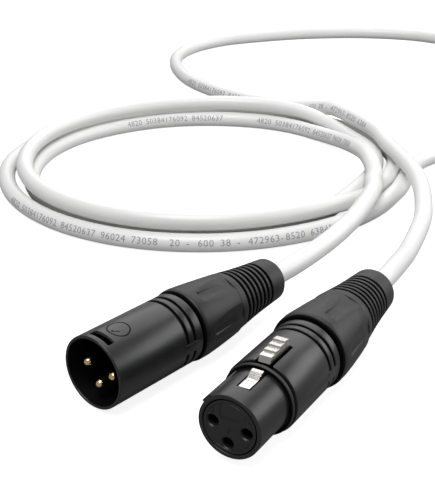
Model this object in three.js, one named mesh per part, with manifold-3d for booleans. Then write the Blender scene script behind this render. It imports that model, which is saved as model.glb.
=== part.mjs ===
import * as THREE from 'three';
import { mergeVertices } from 'three/addons/utils/BufferGeometryUtils.js';
import Module from 'manifold-3d';

// A microphone cable about two metres long, laid in three turns on a table.
// Millimetres, +Z up, table at z = 0.
// Each connector is drawn along its own axis: local +X runs from its front face back to the cable,
// local +Z is up, and a radius is measured from the axis.

const wasm = await Module();
wasm.setup();

// ---- driving dimensions -------------------------------------------------------------------------
const CABLE_D = 6.0;
const CABLE_R = CABLE_D / 2;
const AXIS_Z = 10.2;                 // the widest ring of the gland nut rests on the table
const GAP = 0.3;                     // clearance between seated pieces
const ROUND = 36;                    // facets round a shell
const SMALL_ROUND = 12;              // facets round a pin

const MALE = { x: -34.4, y: -14.1, heading: 49.59, nutStart: 29.3 };
const FEMALE = { x: -2.2, y: -37.4, heading: 59.42, nutStart: 37.4 };
const END_BEHIND_NUT = 38.7;         // boot end, behind the front line of the nut

const SHELL_R = 9.5;                 // male shell, 19 mm across
const MOUTH_R = 8.75;
const CAVITY_DEPTH = 16.2;
const NOSE_R = 7.94;                 // female nose, 15.9 mm across
const BODY_R = 9.45;
const NOSE_BORE_R = 6.9;
const NOSE_LENGTH = 12.2;
const TAIL_R = 7.9;                  // threaded tail that the nut screws on
const TAIL_BORE_R = 6.6;
const GROOVE_W = 0.9;
const GROOVE_DEPTH = 0.6;

const CONTACT_CIRCLE_R = 4.3;
// Degrees seen from the front, 0 to the right. Both connectors lie rolled a little to the right.
const CONTACT_ANGLES = { 1: -6, 2: 174, 3: 264 };
const PIN_R = 1.2;
const PIN_TIP = 1.6;                 // pin tips behind the rim
const SOCKET_R = 1.8;
const SOCKET_BORE_R = 1.3;

const COIL_X = -10.8;                // centre of the coil
const COIL_Y = 150.4;
const COIL_STEPS = 36;               // tube rings in one turn

// ---- finishes -----------------------------------------------------------------------------------
const LOOKS = {
  charcoal: { color: 0x2b2c2d, roughness: 0.42, metalness: 0.35 },
  insert: { color: 0x1d1e1f, roughness: 0.5, metalness: 0.0 },
  nut: { color: 0x2f3031, roughness: 0.48, metalness: 0.0 },
  rubber: { color: 0x262728, roughness: 0.6, metalness: 0.0 },
  gold: { color: 0xc9a55c, roughness: 0.25, metalness: 1.0 },
  silver: { color: 0xc8c6c0, roughness: 0.28, metalness: 1.0 },
  steel: { color: 0x9fa1a2, roughness: 0.35, metalness: 1.0 },
  jacket: { color: 0xf0f0ee, roughness: 0.4, metalness: 0.0 },
  red: { color: 0xa8322b, roughness: 0.5, metalness: 0.0 },
  blue: { color: 0x2d4f8f, roughness: 0.5, metalness: 0.0 },
  bare: { color: 0xb87748, roughness: 0.4, metalness: 1.0 },
};

// ---- geometry helpers ---------------------------------------------------------------------------
const rad = THREE.MathUtils.degToRad;

function signedVolume(geometry) {
  const p = geometry.getAttribute('position');
  const index = geometry.getIndex();
  const a = new THREE.Vector3();
  const b = new THREE.Vector3();
  const c = new THREE.Vector3();
  let six = 0;
  for (let i = 0; i < index.count; i += 3) {
    a.fromBufferAttribute(p, index.getX(i));
    b.fromBufferAttribute(p, index.getX(i + 1));
    c.fromBufferAttribute(p, index.getX(i + 2));
    six += a.dot(b.cross(c));
  }
  return six / 6;
}

// Positions only, shared corners merged, faces turned outward.
function closed(geometry) {
  const bare = geometry.clone();
  for (const name of Object.keys(bare.attributes)) {
    if (name !== 'position') bare.deleteAttribute(name);
  }
  const merged = mergeVertices(bare, 1e-4);
  const index = merged.getIndex();
  const kept = [];
  for (let i = 0; i < index.count; i += 3) {
    const [a, b, c] = [index.getX(i), index.getX(i + 1), index.getX(i + 2)];
    if (a !== b && b !== c && c !== a) kept.push(a, b, c);
  }
  merged.setIndex(kept);
  if (signedVolume(merged) < 0) {
    for (let i = 0; i < kept.length; i += 3) [kept[i], kept[i + 1]] = [kept[i + 1], kept[i]];
    merged.setIndex(kept);
  }
  return merged;
}

function toManifold(geometry) {
  const solid = closed(geometry);
  return new wasm.Manifold(new wasm.Mesh({
    numProp: 3,
    vertProperties: new Float32Array(solid.getAttribute('position').array),
    triVerts: new Uint32Array(solid.getIndex().array),
  }));
}

function fromManifold(body) {
  const mesh = body.getMesh();
  const geometry = new THREE.BufferGeometry();
  geometry.setAttribute('position', new THREE.BufferAttribute(new Float32Array(mesh.vertProperties), 3));
  geometry.setIndex(Array.from(mesh.triVerts));
  return geometry;
}

function cut(base, tools) {
  let body = toManifold(base);
  for (const tool of tools) body = body.subtract(toManifold(tool));
  return fromManifold(body);
}

function join(base, additions) {
  let body = toManifold(base);
  for (const addition of additions) body = body.add(toManifold(addition));
  return fromManifold(body);
}

// Turns a profile of [distance along the axis, radius] pairs round local X.
// A vertex line lies straight below the axis, so a turned piece rests on the table at its full radius.
function turned(profile, facets = ROUND) {
  const points = profile.map(([along, radius]) => new THREE.Vector2(radius, along));
  const lathe = new THREE.LatheGeometry(points, facets);
  lathe.rotateZ(-Math.PI / 2);
  return closed(lathe);
}

function rod(start, end, radius, facets = SMALL_ROUND) {
  return turned([[start, 0], [start, radius], [end, radius], [end, 0]], facets);
}

function box(x0, x1, y0, y1, z0, z1) {
  const geometry = new THREE.BoxGeometry(x1 - x0, y1 - y0, z1 - z0);
  geometry.translate((x0 + x1) / 2, (y0 + y1) / 2, (z0 + z1) / 2);
  return geometry;
}

// Angle 0 points to the right seen from the front, 90 up.
function aboutAxis(geometry, angle) {
  geometry.rotateX(-rad(angle));
  return geometry;
}

// A bar along the axis, standing out from radius r0 to r1 at an angle round it.
function lengthwiseBar(x0, x1, width, r0, r1, angle) {
  const bar = box(x0, x1, -r1, -r0, -width / 2, width / 2);
  return aboutAxis(bar, angle);
}

function contactOffset(number) {
  const angle = rad(CONTACT_ANGLES[number]);
  return new THREE.Vector3(0, -CONTACT_CIRCLE_R * Math.cos(angle), CONTACT_CIRCLE_R * Math.sin(angle));
}

function atContact(geometry, number) {
  const offset = contactOffset(number);
  geometry.translate(0, offset.y, offset.z);
  return geometry;
}

// A constant round section carried along points, closed by flat ends square to the path.
function sweptTube(points, radius, sides) {
  const up = new THREE.Vector3(0, 0, 1);
  const rings = points.map((point, i) => {
    const before = points[Math.max(i - 1, 0)];
    const after = points[Math.min(i + 1, points.length - 1)];
    const tangent = after.clone().sub(before).normalize();
    const side = new THREE.Vector3().crossVectors(tangent, up).normalize();
    const lift = new THREE.Vector3().crossVectors(side, tangent);
    return Array.from({ length: sides }, (unused, k) => {
      const angle = (2 * Math.PI * k) / sides - Math.PI / 2;
      return point.clone()
        .addScaledVector(side, radius * Math.cos(angle))
        .addScaledVector(lift, radius * Math.sin(angle));
    });
  });
  const positions = [];
  const index = [];
  rings.flat().forEach((corner) => positions.push(corner.x, corner.y, corner.z));
  for (let i = 0; i < rings.length - 1; i += 1) {
    for (let k = 0; k < sides; k += 1) {
      const a = i * sides + k;
      const b = i * sides + ((k + 1) % sides);
      index.push(a, b, a + sides, b, b + sides, a + sides);
    }
  }
  const last = (rings.length - 1) * sides;
  for (let k = 1; k < sides - 1; k += 1) {
    index.push(0, k + 1, k);
    index.push(last, last + k, last + k + 1);
  }
  const geometry = new THREE.BufferGeometry();
  geometry.setAttribute('position', new THREE.Float32BufferAttribute(positions, 3));
  geometry.setIndex(index);
  return closed(geometry);
}

function addPiece(parent, name, geometry, look) {
  const mesh = new THREE.Mesh(geometry, new THREE.MeshStandardMaterial(LOOKS[look]));
  mesh.name = name;
  parent.add(mesh);
  return mesh;
}

function connectorGroup(spec, name) {
  const group = new THREE.Group();
  group.name = name;
  group.position.set(spec.x, spec.y, AXIS_Z);
  group.rotation.z = rad(spec.heading);
  return group;
}

// ---- pieces that both connectors share ----------------------------------------------------------
const NUT_PROFILE = [
  [0.4, 9.9], [1.5, 10.15], [4.0, 10.2], [9.0, 9.95], [14.0, 9.6], [18.6, 9.15], [19.0, 8.85],
];
const NUT_THREAD_BORE_R = TAIL_R + GAP;
const NUT_REAR_BORE_R = 6.6;
const NUT_SHOULDER = 7.6;            // inner step of the nut behind its front line
const NUT_LANDS = 6;
const NUT_FIRST_LAND = { male: 72, female: 84 };   // degrees round the axis

// A shallow cut that follows the nut's taper: half its length, its width, middle and floor radius.
function taperedCut(half, width, middle, floorRadius, angle) {
  const tool = box(-half, half, -2, 0, -width / 2, width / 2);
  tool.rotateZ(Math.atan2(10.2 - 9.6, 14.0 - 4.0));
  tool.translate(middle, -floorRadius, 0);
  return aboutAxis(tool, angle);
}

function glandNut(start, firstLand) {
  const front = NUT_PROFILE[0][0];
  const back = NUT_PROFILE[NUT_PROFILE.length - 1][0];
  const profile = [[front, NUT_THREAD_BORE_R], ...NUT_PROFILE];
  profile.push([back, NUT_REAR_BORE_R], [NUT_SHOULDER, NUT_REAR_BORE_R], [NUT_SHOULDER, NUT_THREAD_BORE_R]);
  profile.push([front, NUT_THREAD_BORE_R]);
  const body = turned(profile);
  const landStep = 360 / NUT_LANDS;
  const cuts = Array.from({ length: NUT_LANDS }, (unused, k) => {
    const land = firstLand + landStep * k;
    const flat = taperedCut(6.8, 6.5, 10.6, 9.5, land + landStep / 2);
    const pocket = taperedCut(4.2, 2.3, 9.4, 9.65, land);
    return [flat, pocket];
  });
  const nut = cut(body, cuts.flat());
  nut.translate(start, 0, 0);
  return nut;
}

const BOOT_FRONT = 19.3;
const BOOT_GROOVES = 7;
const BOOT_GROOVE_START = 20.8;
const BOOT_GROOVE_PITCH = 1.95;
const BOOT_BORE_R = CABLE_R + 0.4;
const BOOT_SLEEVE_R = 6.2;
const BOOT_SLEEVE_START = 13.4;

function bootRadius(along) {
  const knots = [[19.3, 8.6], [21, 8.3], [26.4, 7.5], [31.4, 6.95], [33.4, 6.75], [38.7, 6.25]];
  const next = knots.findIndex(([at]) => at >= along);
  const [x0, r0] = knots[Math.max(next - 1, 0)];
  const [x1, r1] = knots[Math.max(next, 1)];
  return r0 + ((r1 - r0) * (along - x0)) / (x1 - x0);
}

function boot(start) {
  const grooveDepth = 0.95;
  const grooveTop = 1.0;
  const grooveFloor = 0.5;
  const profile = [[BOOT_SLEEVE_START, BOOT_BORE_R], [BOOT_SLEEVE_START, BOOT_SLEEVE_R]];
  profile.push([BOOT_FRONT, BOOT_SLEEVE_R], [BOOT_FRONT, bootRadius(BOOT_FRONT)]);
  for (let k = 0; k < BOOT_GROOVES; k += 1) {
    const at = BOOT_GROOVE_START + k * BOOT_GROOVE_PITCH;
    const inset = (grooveTop - grooveFloor) / 2;
    profile.push([at, bootRadius(at)]);
    profile.push([at + inset, bootRadius(at) - grooveDepth]);
    profile.push([at + grooveTop - inset, bootRadius(at) - grooveDepth]);
    profile.push([at + grooveTop, bootRadius(at + grooveTop)]);
  }
  const endRound = 0.6;
  profile.push([END_BEHIND_NUT - endRound, bootRadius(END_BEHIND_NUT - endRound)]);
  profile.push([END_BEHIND_NUT, bootRadius(END_BEHIND_NUT) - endRound]);
  profile.push([END_BEHIND_NUT, BOOT_BORE_R], [BOOT_SLEEVE_START, BOOT_BORE_R]);
  const body = turned(profile, 28);
  body.translate(start, 0, 0);
  return body;
}

const CHUCK_START = 7.9;
const CHUCK_END = 12.9;
const CABLE_START = 8.6;             // cut end of the jacket inside the chuck

// Slit collar that the nut squeezes onto the jacket.
function chuck(start) {
  const outer = 6.2;
  const nose = 5.2;
  const bore = CABLE_R + 0.4;
  const body = turned([
    [CHUCK_START, bore], [CHUCK_START, outer], [CHUCK_END - 1.5, outer],
    [CHUCK_END, nose], [CHUCK_END, bore], [CHUCK_START, bore],
  ], 24);
  const slits = [0, 90, 180, 270].map(
    (angle) => lengthwiseBar(CHUCK_START + 1.4, CHUCK_END + 1, 0.8, bore - 1, outer + 1, angle + 45),
  );
  const collar = cut(body, slits);
  collar.translate(start, 0, 0);
  return collar;
}

const LEAD_R = 0.55;
const LEAD_SPREAD = 1.25;            // conductors side by side at the jacket's end

function conductor(number, from, to) {
  const offset = contactOffset(number);
  const angle = rad(CONTACT_ANGLES[number]);
  const endY = -LEAD_SPREAD * Math.cos(angle);
  const endZ = LEAD_SPREAD * Math.sin(angle);
  const span = to - from;
  const points = [
    new THREE.Vector3(from, offset.y, offset.z),
    new THREE.Vector3(from + span * 0.25, offset.y, offset.z),
    new THREE.Vector3(from + span * 0.5, (offset.y + endY) / 2, (offset.z + endZ) / 2),
    new THREE.Vector3(from + span * 0.75, endY, endZ),
    new THREE.Vector3(to, endY, endZ),
  ];
  return sweptTube(points, LEAD_R, 6);
}

function addGland(group, prefix, spec, contactEnd) {
  const start = spec.nutStart;
  addPiece(group, `${prefix}_chuck`, chuck(start), 'insert');
  addPiece(group, `${prefix}_gland_nut`, glandNut(start, NUT_FIRST_LAND[prefix]), 'nut');
  addPiece(group, `${prefix}_boot`, boot(start), 'rubber');
  const colours = { 1: 'bare', 2: 'red', 3: 'blue' };
  for (const number of [1, 2, 3]) {
    const lead = conductor(number, contactEnd + GAP, start + CABLE_START - GAP);
    addPiece(group, `${prefix}_conductor_${number}`, lead, colours[number]);
  }
}

// The shell behind its two grooves: shoulder, then the tail that the nut screws on.
function shellRear(nutStart, outer) {
  const firstGroove = nutStart - 5.45;
  const secondGroove = nutStart - 3.15;
  const floor = outer - GROOVE_DEPTH;
  return [
    [firstGroove, outer], [firstGroove, floor], [firstGroove + GROOVE_W, floor],
    [firstGroove + GROOVE_W, outer], [secondGroove, outer], [secondGroove, floor],
    [secondGroove + GROOVE_W, floor], [secondGroove + GROOVE_W, outer],
    [nutStart - 0.8, outer], [nutStart - 0.55, outer - 0.25], [nutStart - 0.5, floor],
    [nutStart + 0.05, floor], [nutStart + 0.05, TAIL_R], [nutStart + NUT_SHOULDER - 0.4, TAIL_R],
    [nutStart + NUT_SHOULDER - 0.4, TAIL_BORE_R],
  ];
}

// The block that bridges a shell's two grooves on its right side.
function grooveKey(nutStart, outer) {
  return lengthwiseBar(nutStart - 6.1, nutStart - 1.0, 2.8, outer - 1.2, outer, -3);
}

// ---- male connector -----------------------------------------------------------------------------
const INSERT_SEAT_R = 8.3;
const INSERT_BACK = 23.4;
const MALE_ROLL = -8;                // the window and pins lean this much to the right

function maleShell() {
  const profile = [[0, MOUTH_R], [0, SHELL_R - 0.2], [0.3, SHELL_R]];
  profile.push(...shellRear(MALE.nutStart, SHELL_R));
  profile.push([INSERT_BACK, TAIL_BORE_R], [INSERT_BACK, INSERT_SEAT_R]);
  profile.push([CAVITY_DEPTH, INSERT_SEAT_R], [CAVITY_DEPTH, MOUTH_R], [0, MOUTH_R]);
  const body = turned(profile);
  const windowStart = 1.1;
  const windowLength = 2.1;
  const windowWidth = 7.2;
  const catchWindow = box(
    windowStart, windowStart + windowLength, -windowWidth / 2, windowWidth / 2, SHELL_R - 3.2, SHELL_R + 1,
  );
  catchWindow.rotateX(-rad(MALE_ROLL));
  const key = grooveKey(MALE.nutStart, SHELL_R);
  return cut(join(body, [key]), [catchWindow]);
}

function maleInsert() {
  const face = CAVITY_DEPTH + GAP;
  const back = INSERT_BACK - GAP;
  const body = rod(face, back, INSERT_SEAT_R - GAP, ROUND);
  const holes = [1, 2, 3].map((number) => atContact(rod(face - 1, back + 1, PIN_R + GAP), number));
  return cut(body, holes);
}

const PIN_END = 27.6;

function pin() {
  const collar = 0.15;
  return turned([
    [PIN_TIP, 0], [PIN_TIP + 0.12, 0.55], [PIN_TIP + 0.5, 0.98], [PIN_TIP + 1.1, PIN_R],
    [24.2, PIN_R], [24.2, PIN_R + collar], [PIN_END, PIN_R + collar],
    [PIN_END, 0.8], [PIN_END - 3, 0.8], [PIN_END - 3, 0],
  ], SMALL_ROUND);
}

function buildMale() {
  const group = connectorGroup(MALE, 'male_connector');
  addPiece(group, 'male_shell', maleShell(), 'charcoal');
  addPiece(group, 'male_insert', maleInsert(), 'insert');
  for (const number of [1, 2, 3]) addPiece(group, `male_pin_${number}`, atContact(pin(), number), 'gold');
  addGland(group, 'male', MALE, PIN_END);
  return group;
}

// ---- female connector ---------------------------------------------------------------------------
const SLOT_CENTRE_Y = -0.6;          // the latch sits a little right of the top line
const HOOK_SLOT_W = 3.6;
const TAB_SLOT_W = 4.6;
const HOOK_SLOT_START = 3.9;
const TAB_SLOT_END = 24.6;
const LATCH_HINGE_X = 27.5;
const INSERT_CHANNEL_Z = 3.1;

function femaleShell() {
  const stepBack = 14.6;
  const profile = [[0, NOSE_BORE_R], [0, NOSE_R - 0.25], [0.25, NOSE_R], [NOSE_LENGTH, NOSE_R]];
  profile.push([stepBack, NOSE_R], [stepBack, BODY_R - 0.4], [stepBack + 0.4, BODY_R]);
  profile.push(...shellRear(FEMALE.nutStart, BODY_R));
  profile.push([31, TAIL_BORE_R], [31, NOSE_BORE_R], [0, NOSE_BORE_R]);
  const body = turned(profile);
  const rib = lengthwiseBar(0.4, NOSE_LENGTH, 3.1, NOSE_R - 0.6, NOSE_R + 0.45, 138);
  const key = grooveKey(FEMALE.nutStart, BODY_R);
  const hookSlot = box(
    HOOK_SLOT_START, 13.4, SLOT_CENTRE_Y - HOOK_SLOT_W / 2, SLOT_CENTRE_Y + HOOK_SLOT_W / 2, 4, 12,
  );
  const tabSlot = box(
    13.0, TAB_SLOT_END, SLOT_CENTRE_Y - TAB_SLOT_W / 2, SLOT_CENTRE_Y + TAB_SLOT_W / 2, 4, 12,
  );
  return cut(join(body, [rib, key]), [hookSlot, tabSlot]);
}

function bumperRing() {
  const seat = NOSE_R + GAP;
  return turned([
    [13.0, seat], [13.0, 8.7], [13.25, 9.0], [13.6, 9.1],
    [13.95, 9.0], [14.2, 8.7], [14.2, seat], [13.0, seat],
  ]);
}

const SOCKET_END = 24.0;

function femaleInsert() {
  const radius = NOSE_BORE_R - GAP;
  const faceHoleR = 1.4;
  const faceThickness = 1.6;
  const back = 21.0;
  const body = rod(0.1, back, radius, ROUND);
  const holes = [1, 2, 3].flatMap((number) => [
    atContact(rod(-1, back + 1, faceHoleR), number),
    atContact(rod(faceThickness, back + 1, SOCKET_R + GAP), number),
  ]);
  const channel = box(3.2, back + 1, -3.4, 2.6, INSERT_CHANNEL_Z, 8);
  return cut(body, [...holes, channel]);
}

function socket() {
  const front = 1.6 + GAP;
  const drilled = 14;
  return turned([
    [front, SOCKET_BORE_R], [front, SOCKET_R], [SOCKET_END, SOCKET_R], [SOCKET_END, 1.1],
    [SOCKET_END - 3, 1.1], [SOCKET_END - 3, 0], [drilled, 0],
    [drilled, SOCKET_BORE_R], [front, SOCKET_BORE_R],
  ], SMALL_ROUND);
}

function extrudedSideways(outline, width, centreY) {
  const shape = new THREE.Shape(outline.map(([x, z]) => new THREE.Vector2(x, z)));
  const geometry = new THREE.ExtrudeGeometry(shape, { depth: width, bevelEnabled: false });
  geometry.rotateX(Math.PI / 2);
  geometry.translate(0, centreY + width / 2, 0);
  return closed(geometry);
}

// Lever with the hook on the nose, the stepped thumb piece on the body and its pivot at the back.
function latch() {
  const under = 4.95;
  const bar = 6.1;
  const hookTop = 8.4;
  const outline = [
    [4.4, under], [4.4, 7.3], [8.0, hookTop], [11.9, hookTop - 0.2], [11.9, bar], [14.6, bar],
  ];
  const steps = 4;
  const stepRun = 2.35;
  const treadLow = 9.9;
  const treadHigh = 11.3;
  for (let k = 0; k < steps; k += 1) {
    const at = 14.6 + k * stepRun;
    outline.push([at, treadLow], [at + 0.35, treadHigh], [at + stepRun - 0.75, treadHigh]);
    outline.push([at + stepRun - 0.4, treadLow]);
  }
  outline.push([23.9, bar], [LATCH_HINGE_X + 1, bar], [LATCH_HINGE_X + 1, under]);
  return extrudedSideways(outline, HOOK_SLOT_W - 0.6, SLOT_CENTRE_Y);
}

function latchSpring() {
  const outline = [
    [15.5, 3.45], [17.2, 3.45], [20.5, 4.55], [22.0, 4.55], [26.6, 3.45], [28.0, 3.45],
    [28.0, 3.2], [26.5, 3.2], [21.9, 4.3], [20.6, 4.3], [17.3, 3.2], [15.5, 3.2],
  ];
  return extrudedSideways(outline, 2.4, SLOT_CENTRE_Y);
}

function buildFemale() {
  const group = connectorGroup(FEMALE, 'female_connector');
  addPiece(group, 'female_shell', femaleShell(), 'charcoal');
  addPiece(group, 'female_bumper_ring', bumperRing(), 'rubber');
  addPiece(group, 'female_insert', femaleInsert(), 'insert');
  for (const number of [1, 2, 3]) {
    addPiece(group, `female_socket_${number}`, atContact(socket(), number), 'gold');
  }
  addPiece(group, 'latch', latch(), 'silver');
  addPiece(group, 'latch_spring', latchSpring(), 'steel');
  addGland(group, 'female', FEMALE, SOCKET_END);
  return group;
}

// ---- the cable ----------------------------------------------------------------------------------
// The three turns run anticlockwise seen from above. Each row is the angle round the coil in degrees,
// the radius and the height of the cable's centre. Turn 1 comes off the male end, drops to the inside
// and lies on the table; turn 2 climbs on top of it; turn 3 is the outer ring.
const COIL_ROUTE = [
  [-31, 69.3, 10.1], [-25, 67.2, 9.8], [-18, 64.7, 9.5], [-9, 62.1, 9.5], [-3, 60.7, 9.3], [5, 59.3, 8.2],
  [13, 59.0, 6.8], [21, 59.3, 5.4], [31, 60.0, 3.9], [42, 60.5, 3], [60, 60.0, 3], [75, 58.8, 3],
  [90, 58.1, 3], [108, 58.0, 3], [126, 58.4, 3], [144, 59.8, 3], [159, 60.9, 3], [180, 62.1, 3],
  [195, 63.2, 3], [230, 64.8, 3], [272, 65.0, 3], [296, 64.8, 3], [308, 63.3, 3], [317, 61.5, 3],
  [323, 60.5, 3], [331, 60.1, 3], [340, 60.9, 3], [348, 62.7, 3], [356, 64.3, 3], [364, 66.2, 3],
  [372, 67.6, 3], [382, 68.0, 3], [391, 68.0, 3.4], [399, 67.2, 5.2], [405, 66.2, 7.0], [411, 65.0, 8.4],
  [419, 63.4, 9.2], [440, 60.9, 9.4], [452, 59.4, 9.5], [468, 58.9, 9.5], [486, 59.3, 9.5],
  [504, 60.7, 9.5], [519, 62.0, 9.5], [540, 63.8, 9.4], [564, 66.3, 9.1], [590, 67.9, 8.9],
  [632, 68.4, 8.9], [654, 68.4, 8.8], [666, 68.2, 8.2], [674, 67.8, 7.3], [680, 67.3, 6.0],
  [686, 66.9, 4.7], [692, 66.6, 3.5], [699, 67.3, 3], [706, 68.8, 3], [712, 70.2, 3], [718, 71.8, 3],
  [725, 73.7, 3], [733, 74.5, 3], [745, 74.7, 3], [757, 73.8, 3], [765, 72.2, 3], [771, 70.6, 3],
  [779, 69.0, 3], [792, 67.8, 3], [810, 67.4, 3], [830, 67.4, 3], [846, 68.0, 3], [864, 69.3, 3],
  [885, 70.9, 3], [900, 72.0, 3], [915, 71.9, 3], [960, 71.9, 3], [992, 71.9, 3], [1016, 72.3, 3],
  [1028, 72.9, 3], [1038, 73.4, 3], [1046, 73.7, 3], [1056, 74.0, 3], [1062, 74.8, 3],
];

function coilPoint(angle) {
  const last = COIL_ROUTE.length - 1;
  let i = COIL_ROUTE.findIndex(([at]) => at > angle) - 1;
  if (i < 0) i = last - 1;
  const slope = (k, column) => {
    const low = COIL_ROUTE[Math.max(k - 1, 0)];
    const high = COIL_ROUTE[Math.min(k + 1, last)];
    return (high[column] - low[column]) / (high[0] - low[0]);
  };
  const [a0] = COIL_ROUTE[i];
  const span = COIL_ROUTE[i + 1][0] - a0;
  const t = (angle - a0) / span;
  const value = (column) => (2 * t ** 3 - 3 * t ** 2 + 1) * COIL_ROUTE[i][column]
    + (t ** 3 - 2 * t ** 2 + t) * span * slope(i, column)
    + (3 * t ** 2 - 2 * t ** 3) * COIL_ROUTE[i + 1][column]
    + (t ** 3 - t ** 2) * span * slope(i + 1, column);
  const radius = value(1);
  return new THREE.Vector3(
    COIL_X + radius * Math.cos(rad(angle)),
    COIL_Y + radius * Math.sin(rad(angle)),
    Math.max(value(2), CABLE_R),
  );
}

const COIL_START = COIL_ROUTE[0][0];
const COIL_END = COIL_ROUTE[COIL_ROUTE.length - 1][0];

function coilCentreline(step) {
  const count = Math.round((COIL_END - COIL_START) / step);
  return Array.from({ length: count + 1 }, (unused, k) => (
    coilPoint(COIL_START + ((COIL_END - COIL_START) * k) / count)
  ));
}

// Least distance between the surfaces of neighbouring turns.
function leastSelfGap(points) {
  const minAlong = 30;
  let along = 0;
  const distances = points.map((point, i) => {
    if (i > 0) along += point.distanceTo(points[i - 1]);
    return along;
  });
  let least = Infinity;
  for (let i = 0; i < points.length; i += 1) {
    for (let j = i + 1; j < points.length; j += 1) {
      if (distances[j] - distances[i] > minAlong) least = Math.min(least, points[i].distanceTo(points[j]));
    }
  }
  return least - CABLE_D;
}

function bootEnd(spec, extra) {
  const reach = spec.nutStart + END_BEHIND_NUT + extra;
  return new THREE.Vector3(
    spec.x + reach * Math.cos(rad(spec.heading)),
    spec.y + reach * Math.sin(rad(spec.heading)),
    AXIS_Z,
  );
}

const LEAD_STRAIGHT = 10;            // the cable leaves a boot straight for this far

// Hand-chosen points between the male boot and the coil.
const MALE_ROUTE = [
  [25.4, 58.4, 10.2], [32.6, 70.2, 10.3], [39.0, 83.0, 10.4], [44.6, 97.0, 10.4], [48.0, 108.2, 10.3],
];

// Hand-chosen points from the coil, round behind it and back over its outer turns to the female boot.
const TAIL_ROUTE = [
  [67.5, 146.8, 3], [71.9, 154.6, 3], [78.9, 161.8, 3], [87.9, 168.4, 3], [99, 176.6, 3],
  [112, 188.6, 3], [124, 205.6, 3], [133, 228.6, 3], [139, 256.6, 3], [141.5, 286.6, 3],
  [138, 314.6, 3], [127, 339.6, 3], [106, 358.6, 3], [77, 366.1, 3], [42.7, 364.1, 3],
  [17.7, 357, 3], [-2.2, 347.9, 3], [-17, 333.1, 3], [-24.6, 315.6, 3], [-25.3, 296.7, 3],
  [-19.2, 272.6, 3], [-10.5, 257.2, 3], [1.5, 243.2, 3], [14.5, 233.4, 3], [26.3, 225.5, 3.2],
  [32.5, 217.8, 5.0], [38.2, 210.0, 7.4], [43.0, 202.6, 9.4], [47.4, 194.6, 9.8],
];
const HUMP_ROUTE = [
  [57.0, 172.4, 9.7], [59.6, 157.4, 9.4], [61.9, 144.8, 9.6], [63.8, 132.4, 9.8], [64.8, 121.4, 9.7],
  [64.9, 110.6, 8.9], [64.1, 102.0, 7.4], [62.5, 93.0, 5.8], [58.8, 81.9, 4.9], [52.8, 64.9, 5.7],
  [48.5, 53.2, 7.8],
];

function smooth(points, spacing) {
  const curve = new THREE.CatmullRomCurve3(points, false, 'centripetal');
  const count = Math.ceil(curve.getLength() / spacing);
  return curve.getSpacedPoints(count);
}

function vectors(rows) {
  return rows.map(([x, y, z]) => new THREE.Vector3(x, y, z));
}

function coilTangentPoint(fromAngle, toAngle, distance) {
  const at = coilPoint(fromAngle);
  const away = at.clone().sub(coilPoint(toAngle)).normalize();
  return at.clone().addScaledVector(away, distance);
}

function insideBoot(spec) {
  return bootEnd(spec, CABLE_START - END_BEHIND_NUT);
}

function buildCable() {
  const group = new THREE.Group();
  group.name = 'cable';
  const sides = 8;
  const spacing = 14;

  const coil = coilCentreline(360 / COIL_STEPS);
  const startFace = coilTangentPoint(COIL_START, COIL_START + 1, GAP);
  const startRun = coilTangentPoint(COIL_START, COIL_START + 1, GAP + CABLE_D);
  const endFace = coilTangentPoint(COIL_END, COIL_END - 1, GAP);
  const endRun = coilTangentPoint(COIL_END, COIL_END - 1, GAP + CABLE_D);

  const malePoints = [
    bootEnd(MALE, 0), bootEnd(MALE, LEAD_STRAIGHT), ...vectors(MALE_ROUTE), startRun, startFace,
  ];
  const maleCurve = [insideBoot(MALE), ...smooth(malePoints, spacing)];

  const tailPoints = [endFace, endRun, ...vectors(TAIL_ROUTE), ...vectors(HUMP_ROUTE)];
  tailPoints.push(bootEnd(FEMALE, LEAD_STRAIGHT), bootEnd(FEMALE, 0));
  const tailCurve = [...smooth(tailPoints, spacing), insideBoot(FEMALE)];

  addPiece(group, 'cable_male_lead', sweptTube(maleCurve, CABLE_R, sides), 'jacket');
  addPiece(group, 'cable_coil', sweptTube(coil, CABLE_R, 6), 'jacket');
  addPiece(group, 'cable_tail', sweptTube(tailCurve, CABLE_R, sides), 'jacket');

  const gap = leastSelfGap(coilCentreline(2));
  console.log(`coil: least gap to itself ${gap.toFixed(3)} mm`);
  return group;
}

// ---- the assembly -------------------------------------------------------------------------------
// Brings the middle of the two connectors' outline to x = y = 0.
const CENTRING = new THREE.Vector3(-0.079, -0.014, 0);

const assembly = new THREE.Group();
assembly.name = 'assembly';
assembly.position.copy(CENTRING);
assembly.add(buildMale());
assembly.add(buildFemale());
assembly.add(buildCable());

const part = new THREE.Group();
part.name = 'xlr_cable_coil';
part.add(assembly);

export default part;
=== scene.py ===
import math

import bpy
from mathutils import Matrix, Vector


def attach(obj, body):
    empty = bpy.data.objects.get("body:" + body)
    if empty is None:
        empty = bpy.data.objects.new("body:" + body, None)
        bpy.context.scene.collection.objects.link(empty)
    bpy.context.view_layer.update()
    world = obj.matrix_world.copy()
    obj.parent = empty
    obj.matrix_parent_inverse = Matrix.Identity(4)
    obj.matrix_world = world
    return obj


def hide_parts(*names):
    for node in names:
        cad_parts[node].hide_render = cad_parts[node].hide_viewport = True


bl_info = {
    "name": "Microphone Cable Coil",
    "version": (1, 0, 0),
    "blender": (4, 5, 0),
    "location": "3D View > Sidebar > Cable Coil",
    "description": "Builds a coiled three-contact microphone cable with its plug and socket",
    "category": "Add Mesh",
}

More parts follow.
